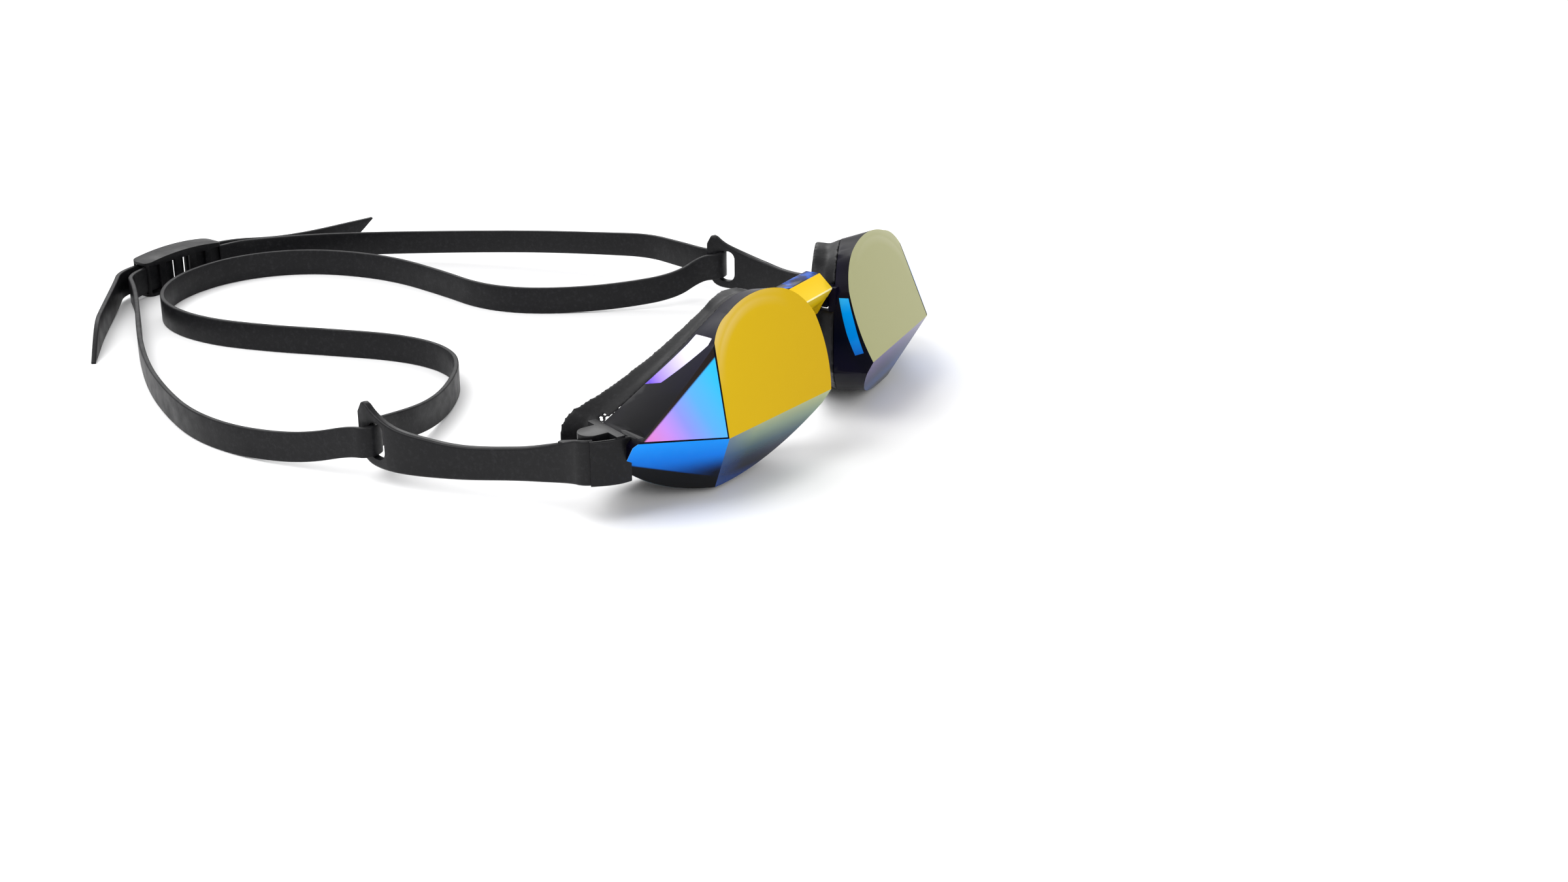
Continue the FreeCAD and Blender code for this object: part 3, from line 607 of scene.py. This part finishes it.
# ---- bands -----------------------------------------------------------------------------
def smooth_route(points, step):
    """A quadratic spline along route points of any number of values, as samples of them."""
    def mix(a, b, share):
        return tuple(p + (q - p) * share for p, q in zip(a, b))

    samples = []
    count = len(points)
    for i in range(1, count - 1):
        a = points[0] if i == 1 else mix(points[i - 1], points[i], 0.5)
        b = points[i]
        c = points[-1] if i == count - 2 else mix(points[i], points[i + 1], 0.5)
        length = math.dist(a[:2], b[:2]) + math.dist(b[:2], c[:2])
        parts = max(6, math.ceil(length / step))
        for k in range(parts + (i == count - 2)):
            share = k / parts
            samples.append(mix(mix(a, b, share), mix(b, c, share), share))
    return samples


def ways(route):
    """The direction in plan at each sample of a route."""
    before = [route[0], *route[:-1]]
    after = [*route[1:], route[-1]]
    return [Vector((b[0] - a[0], b[1] - a[1])).normalized() for a, b in zip(before, after)]


def rounded_section(thick, low, high, corner, arc=4):
    """Points (across, up) of a rounded upright slab."""
    r = min(corner, thick * 0.499, (high - low) * 0.499)
    across = thick / 2 - r
    section = []
    for cx, cz, first in ((across, high - r, 0), (-across, high - r, 90),
                          (-across, low + r, 180), (across, low + r, 270)):
        for k in range(arc + 1):
            a = math.radians(first + 90 * k / arc)
            section.append((cx + r * math.cos(a), cz + r * math.sin(a)))
    return section


def slab_ring(spot, way, section, side):
    """A section stood across a route that runs back along the outside of one side."""
    return [place(spot[0] + way.y * across, spot[1] - way.x * across, up, side) for across, up in section]


def skin_sections(rings):
    """A closed mesh through rings of as many points each."""
    bm = bmesh.new()
    loops = [[bm.verts.new(p) for p in ring] for ring in rings]
    for a, b in zip(loops, loops[1:]):
        for i in range(len(a)):
            j = (i + 1) % len(a)
            bm.faces.new((a[i], a[j], b[j], b[i]))
    bm.faces.new(loops[0][::-1])
    bm.faces.new(loops[-1])
    bmesh.ops.recalc_face_normals(bm, faces=bm.faces)
    return bm


# ---- strap -----------------------------------------------------------------------------
STRAP_WIDTH, STRAP_THICK, STRAP_CORNER = 7.6, 1.3, 0.35
BUCKLE_MIDDLE, BUCKLE_TURN, BUCKLE_LEVEL = (11.0, 229.0), math.radians(-7.0), 1.25
LAYER = 1.75                    # from the buckle's middle to the strap's front and rear layers
POST = 4.8                      # from the buckle's middle to each post, along it
EXIT = 19.5                     # where the strap leaves the buckle
LAST = 8.0                      # where a piece of strap ends, inside the buckle
BAR_SPOT, BAR_LEAN = (78.7, 73.5), 0.1546       # the arm's rear bar in plan
FOLD_AT, FOLD_HALF = 79.85, 2.75
LEVEL_LEFT, LEVEL_RIGHT = 7.5, 7.0


def tip_share(left, tip):
    """How much of the strap's width is left, near a pointed tip."""
    return 1.0 if left >= tip else 0.06 + 0.94 * math.sin(math.pi / 2 * max(left, 0.0) / tip)


def make_strap(name, points, nodes, tip=0.0, tip_up=False):
    """A band along points of x, y, height of its lower edge and how far its upper edge leans."""
    route = smooth_route(points, 1.0)
    total = sum(math.dist(a[:2], b[:2]) for a, b in zip(route, route[1:]))
    gone = 0.0
    rings = []
    for i, (spot, way) in enumerate(zip(route, ways(route))):
        if i:
            gone += math.dist(spot[:2], route[i - 1][:2])
        keep = tip_share(total - gone, tip) if tip else 1.0
        low = STRAP_WIDTH * (1 - keep) if tip_up else 0.0
        high = low + STRAP_WIDTH * keep
        x, y, base, tilt = spot
        ring = []
        for across, up in rounded_section(STRAP_THICK, low, high, STRAP_CORNER, 3):
            across += tilt * up / STRAP_WIDTH
            ring.append(place(x - way.y * across, y + way.x * across, base + up))
        rings.append(ring)
    obj = add_object(name, skin_sections(rings), [STRAP], 50.0)
    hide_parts(*nodes)
    return obj


def in_buckle(along, across):
    """A route point given along and across the buckle."""
    x = BUCKLE_MIDDLE[0] + along * math.cos(BUCKLE_TURN) - across * math.sin(BUCKLE_TURN)
    y = BUCKLE_MIDDLE[1] + along * math.sin(BUCKLE_TURN) + across * math.cos(BUCKLE_TURN)
    return (x, y, BUCKLE_LEVEL, 0.0)


def post_turn(side):
    """Round one post, from the tail's layer to the front one, stopping inside the buckle."""
    inmost = side * (POST - LAYER)
    return [in_buckle(side * EXIT, LAYER), in_buckle(inmost, LAYER), in_buckle(inmost, -LAYER),
            in_buckle(side * LAST, -LAYER)]


def fold(side, level):
    """Round the rear bar of an arm's slot, from outside to inside."""
    def from_bar(y, outward, height):
        bar = BAR_SPOT[0] - BAR_LEAN * (y - BAR_SPOT[1])
        return (side * (bar + outward), y, height, 0.0)

    return [from_bar(86.2, 3.2, level - 0.9), from_bar(FOLD_AT, FOLD_HALF, level),
            from_bar(FOLD_AT, -FOLD_HALF, level), from_bar(85.0, -2.9, level - 0.9)]


RIGHT_RUN = [in_buckle(-LAST, -LAYER), in_buckle(-EXIT, -LAYER), (-15.0, 220.5, 0.5, 0), (-26.3, 208.2, 0, 0),
             (-44.1, 189.8, 0, 0), (-60.1, 170.7, 0, 0), (-71.1, 153.6, 0, 0), (-79.1, 137.4, 0, 0),
             (-81.8, 122.0, 0, 0), (-81.1, 108.0, 0.7, 0), (-80.5, 97.0, 2.6, 0), *fold(-1, LEVEL_RIGHT),
             (-64.5, 87.4, 3.6, 0), (-55.5, 87.4, 2.4, 0), (-47.0, 88.9, 1.2, 0), (-38.4, 91.6, 0.4, 0),
             (-28.9, 95.8, 0, 0), (-19.8, 101.0, 0, 0), (-13.0, 107.6, 0, 0), (-9.2, 117.5, 0, 0),
             (-9.6, 130.5, 0, 0), (-15.0, 147.4, 0, 0), (-19.4, 160.0, 0, 0)]
LEFT_RUN = [(-19.4, 160.0, 0, 0), (-22.8, 171.0, 0, 0), (-24.9, 184.0, 0, 0), (-23.4, 197.0, 0, 0),
            (-17.4, 208.5, 0, 0), (-6.0, 216.5, 0, 0), (7.0, 219.0, 0, 0), (20.9, 216.8, 0, 0),
            (33.5, 208.5, 0, 0), (41.6, 195.5, 0, 0), (45.2, 176.0, 0, 0), (41.4, 154.0, 0, 0),
            (37.2, 138.0, 0, 0), (39.4, 124.5, 0, 0), (47.0, 112.0, 0.1, 0), (56.5, 100.5, 0.7, 0),
            (67.0, 89.4, 2.4, 0), *fold(1, LEVEL_LEFT)[::-1], (84.0, 99.0, 6.1, 0), (88.4, 112.0, 5.6, 1.0),
            (87.0, 126.0, 4.6, 2.2), (82.0, 144.4, 3.8, 2.6), (76.2, 160.4, 3.0, 2.6),
            (68.2, 177.5, 2.3, 2.4), (58.0, 194.0, 2.0, 1.8), (46.0, 208.7, 2.0, 1.0), (36.5, 217.5, 1.8, 0.3),
            in_buckle(EXIT, -LAYER), in_buckle(LAST, -LAYER)]
LEFT_TAIL = post_turn(-1)[::-1] + [(-15.5, 227.6, 0.6, 0), (-28.0, 218.6, 0, 0), (-38.5, 210.6, 0, 0),
                                   (-46.5, 203.9, 0, 0), (-52.6, 198.9, 0, 0)]
RIGHT_TAIL = post_turn(1)[::-1] + [(42.0, 218.8, 0.4, 0), (54.0, 214.2, 0, 0), (64.0, 211.3, 0, 0),
                                   (74.5, 208.0, 0, 0)]


# ---- side arms -------------------------------------------------------------------------
PIN = (69.16, 24.76)
KNUCKLE = 3.8                   # radius of the arm's front end about the pin
# Heights of the arm's upper and lower edge, each as (y, height), and its outline's middle in plan.
ARM_TOP = [(20.0, 20.4), (24.8, 20.1), (30.0, 18.4), (35.0, 16.8), (40.0, 15.5), (45.0, 14.6),
           (50.0, 13.9), (55.0, 13.5), (60.0, 13.6), (65.0, 14.2), (70.0, 14.9), (74.0, 15.8),
           (78.0, 17.2), (80.2, 18.4), (81.7, 19.6), (82.7, 19.8), (83.7, 19.2), (84.4, 17.6)]
ARM_BASE = [(20.0, 9.6), (24.8, 9.2), (30.0, 8.5), (35.0, 7.8), (40.0, 7.2), (45.0, 6.5),
            (50.0, 5.8), (55.0, 5.2), (60.0, 4.8), (66.0, 4.5), (74.0, 4.35), (79.4, 4.4),
            (82.0, 5.2), (83.5, 7.0), (84.4, 10.5)]
ARM_PATH = [(72.5, 27.0), (72.3, 30.5), (72.5, 35.0), (73.1, 40.0), (73.8, 46.0), (75.0, 52.5), (76.3, 59.0),
            (77.6, 65.0), (78.6, 70.5), (78.8, 74.5), (78.0, 79.0), (77.0, 84.4)]
ARM_CORNER, ARM_FRONT_THICK, ARM_THICK = 0.6, 1.3, 1.9
THICKENS_AT, THICKENS_OVER = 26.0, 9.0
SLOT_Y, SLOT_Z, SLOT_CORNER = (75.9, 81.2), (6.5, 15.6), 2.3
EYE = [(11.15, 2.25), (11.4, 2.5), (18.4, 2.5), (18.65, 2.25)]       # height and radius
EYE_POINTS = 40
WEB, WEB_Z = [(69.16, 22.5), (72.9, 23.2), (72.8, 31.0), (71.9, 31.0), (69.16, 27.1)], (11.3, 18.5)
# The bracket's outer cheek: x, y, top and base.
FAIRING = [(65.7, 16.4, 20.2, 9.4), (67.6, 17.0, 20.5, 9.4), (69.8, 18.3, 20.5, 9.5),
           (71.7, 20.0, 20.45, 9.55), (73.4, 21.95, 20.4, 9.6)]
FAIRING_THICK, FAIRING_CORNER = 1.0, 0.45


def between_points(table, y):
    """Smooth value at y from (y, value) pairs, by a cubic between each two."""
    if y <= table[0][0]:
        return table[0][1]
    if y >= table[-1][0]:
        return table[-1][1]
    slopes = []
    for a, b in zip([table[0], *table[:-1]], [*table[1:], table[-1]]):
        slopes.append((b[1] - a[1]) / (b[0] - a[0]))
    i = next(i for i in range(len(table) - 1) if y <= table[i + 1][0])
    (y0, v0), (y1, v1) = table[i], table[i + 1]
    h = y1 - y0
    t = (y - y0) / h
    return ((2 * t**3 - 3 * t**2 + 1) * v0 + (t**3 - 2 * t**2 + t) * h * slopes[i]
            + (-2 * t**3 + 3 * t**2) * v1 + (t**3 - t**2) * h * slopes[i + 1])


def arm_route():
    """Round the knuckle from in front of the pin, then back along the arm."""
    turns = [math.radians(a) for a in range(-42, 1, 6)]
    arc = [(PIN[0] + KNUCKLE * math.cos(t), PIN[1] + KNUCKLE * math.sin(t)) for t in turns]
    return arc + smooth_route([(PIN[0] + KNUCKLE, PIN[1] + 0.6)] + ARM_PATH, 0.8)


def cut_slot(body, side):
    """Cuts the strap's slot through an arm."""
    section = rounded_section(SLOT_Y[1] - SLOT_Y[0], *SLOT_Z, SLOT_CORNER, 8)
    middle = sum(SLOT_Y) / 2
    loops = [[place(x, middle + a, b, side) for a, b in section] for x in (50, 100)]
    cutter = add_object("cutter", skin_sections(loops), [ARM])
    cut = body.modifiers.new("slot", "BOOLEAN")
    cut.operation = "DIFFERENCE"
    cut.solver = "EXACT"
    cut.object = cutter
    apply_modifiers(body)
    bpy.data.objects.remove(cutter)


def eye_and_web(side):
    """Rings of the eye that the pin passes through, and of the web that joins it to the arm."""
    turns = [2 * math.pi * k / EYE_POINTS for k in range(EYE_POINTS)]
    eye = [[place(PIN[0] + r * math.cos(t), PIN[1] + r * math.sin(t), z, side) for t in turns]
           for z, r in EYE]
    web = [[place(x, y, z, side) for x, y in WEB] for z in WEB_Z]
    return eye, web


def make_arm(side):
    word = side_word(side)
    route = arm_route()
    rings = []
    for spot, way in zip(route, ways(route)):
        grown = min(1.0, max(0.0, (spot[1] - THICKENS_AT) / THICKENS_OVER))
        thick = ARM_FRONT_THICK + (ARM_THICK - ARM_FRONT_THICK) * grown
        low, high = between_points(ARM_BASE, spot[1]), between_points(ARM_TOP, spot[1])
        rings.append(slab_ring(spot, way, rounded_section(thick, low, high, ARM_CORNER, 5), side))
    body = add_object("arm_body_" + word, skin_sections(rings), [ARM], 40.0)
    cut_slot(body, side)

    mesh = body.data
    bm = bmesh.new()
    bm.from_mesh(mesh)
    rim = [e for e in sharp_edges(bm, 50)
           if SLOT_Y[0] - 0.2 < e.verts[0].co.y / MM + SHIFT.y < SLOT_Y[1] + 0.2]
    bevel(bm, rim, 0.3 * MM, 3)
    for part_rings in eye_and_web(side):
        part = skin_sections(part_rings)
        extra = bpy.data.meshes.new("extra")
        part.to_mesh(extra)
        part.free()
        bm.from_mesh(extra)
        bpy.data.meshes.remove(extra)
    bm.to_mesh(mesh)
    bm.free()
    mesh.shade_smooth()
    mesh.set_sharp_from_angle(angle=math.radians(38))
    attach(body, word + "_arm")
    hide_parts("arm_" + word)


def make_fairing(side):
    """The bracket's outer cheek, which carries the arm's line forward on to the lens."""
    route = smooth_route(FAIRING, 0.6)
    rings = []
    for (x, y, top, base), way in zip(route, ways(route)):
        section = rounded_section(FAIRING_THICK, base, top, FAIRING_CORNER)
        rings.append(slab_ring((x, y), way, section, side))
    obj = add_object("bracket_cheek_" + side_word(side), skin_sections(rings), [BRACKET], 45.0)
    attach(obj, "goggles")


# ---- build -----------------------------------------------------------------------------
for word, side in (("left", 1), ("right", -1)):
    make_lens("lens_" + word, side)
    make_gasket("gasket_" + word, "gasket_ring_" + word)
    make_bevelled("bracket_" + word, "bracket_hinge_" + word, "goggles", [BRACKET], 0.3 * MM)
    make_arm(side)
    make_fairing(side)

make_bevelled("nose_bridge", "bridge_bar", "nose_piece", BRIDGE, 0.28 * MM, 18.0, 2, bridge_paint)
make_bevelled("buckle", "buckle_frame", "goggles", [BUCKLE], 0.35 * MM)

right = make_strap("strap_right", RIGHT_RUN, ["strap_outer_right", "strap_fold_right", "strap_inner_right"])
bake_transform(right)
left = make_strap("strap_left", LEFT_RUN, ["strap_inner_left", "strap_fold_left", "strap_outer_left"])
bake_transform(left)
for name, points, node, tip, up in (("strap_end_left", LEFT_TAIL, "strap_tail_left", 19.0, False),
                                    ("strap_end_right", RIGHT_TAIL, "strap_tail_right", 14.0, True)):
    tail = make_strap(name, points, [node], tip, up)
    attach(tail, "goggles")


# ---- stage -----------------------------------------------------------------------------
FLOOR_HALF = 4.0
FLOOR_DROP = 0.05 * MM
WORLD_LIGHT = 0.75
# The camera is fitted to the photo: where it stands, the way it looks and its lens.
CAMERA_AT = Vector((-0.45004, -0.35814, 0.2049))
CAMERA_AZIMUTH, CAMERA_ELEVATION = math.radians(-60.0), math.radians(22.0)
LENS_LENGTH, SENSOR_WIDTH = 51.0, 36.0


def make_floor():
    material, tree, out = new_material("studio_floor")
    shader = principled(tree, grey(0.9), 0.7, spec=0.3)
    clouds = ramp(tree, noise(tree, 4.0, 2.0),
                  [(0.0, (0.90, 0.90, 0.905, 1)), (1.0, (0.93, 0.93, 0.935, 1))])
    tree.links.new(clouds, shader.inputs["Base Color"])
    tree.links.new(shader.outputs[0], out.inputs[0])
    bm = bmesh.new()
    bmesh.ops.create_grid(bm, x_segments=2, y_segments=2, size=FLOOR_HALF)
    floor = add_object("studio_floor", bm, [material])
    floor.location.z = -FLOOR_DROP


def light_world():
    world = bpy.data.worlds.new("studio")
    bpy.context.scene.world = world
    world.use_nodes = True
    color, strength = world.node_tree.nodes["Background"].inputs[:2]
    color.default_value = WHITE
    strength.default_value = WORLD_LIGHT


def area(name, where, toward, size, power):
    light = bpy.data.lights.new(name, "AREA")
    light.shape = "RECTANGLE"
    light.size, light.size_y = size
    light.energy = power
    obj = bpy.data.objects.new(name, light)
    obj.location = where
    obj.rotation_euler = (Vector(toward) - Vector(where)).to_track_quat("-Z", "Y").to_euler()
    bpy.context.scene.collection.objects.link(obj)


def make_camera():
    camera = bpy.data.cameras.new("photo_view")
    camera.lens = LENS_LENGTH
    camera.sensor_width = SENSOR_WIDTH
    view = bpy.data.objects.new("photo_view", camera)
    az, el = CAMERA_AZIMUTH, CAMERA_ELEVATION
    toward_eye = Vector((math.sin(az) * math.cos(el), -math.cos(az) * math.cos(el), math.sin(el)))
    right_way = Vector((math.cos(az), math.sin(az), 0))
    turn = Matrix((right_way, toward_eye.cross(right_way), toward_eye)).transposed().to_4x4()
    turn.translation = CAMERA_AT
    view.matrix_world = turn
    bpy.context.scene.collection.objects.link(view)
    bpy.context.scene.camera = view


make_floor()
light_world()
area("key", (-0.5, 0.3, 0.9), (0, 0, 0), (0.9, 0.9), 9.0)
area("front", (-0.5, -0.9, 0.5), (0, -0.05, 0.02), (0.7, 0.4), 3.0)
area("back", (0.6, 0.6, 0.7), (0, 0.05, 0), (0.8, 0.5), 5.0)
make_camera()
bpy.context.scene.view_settings.view_transform = "Standard"
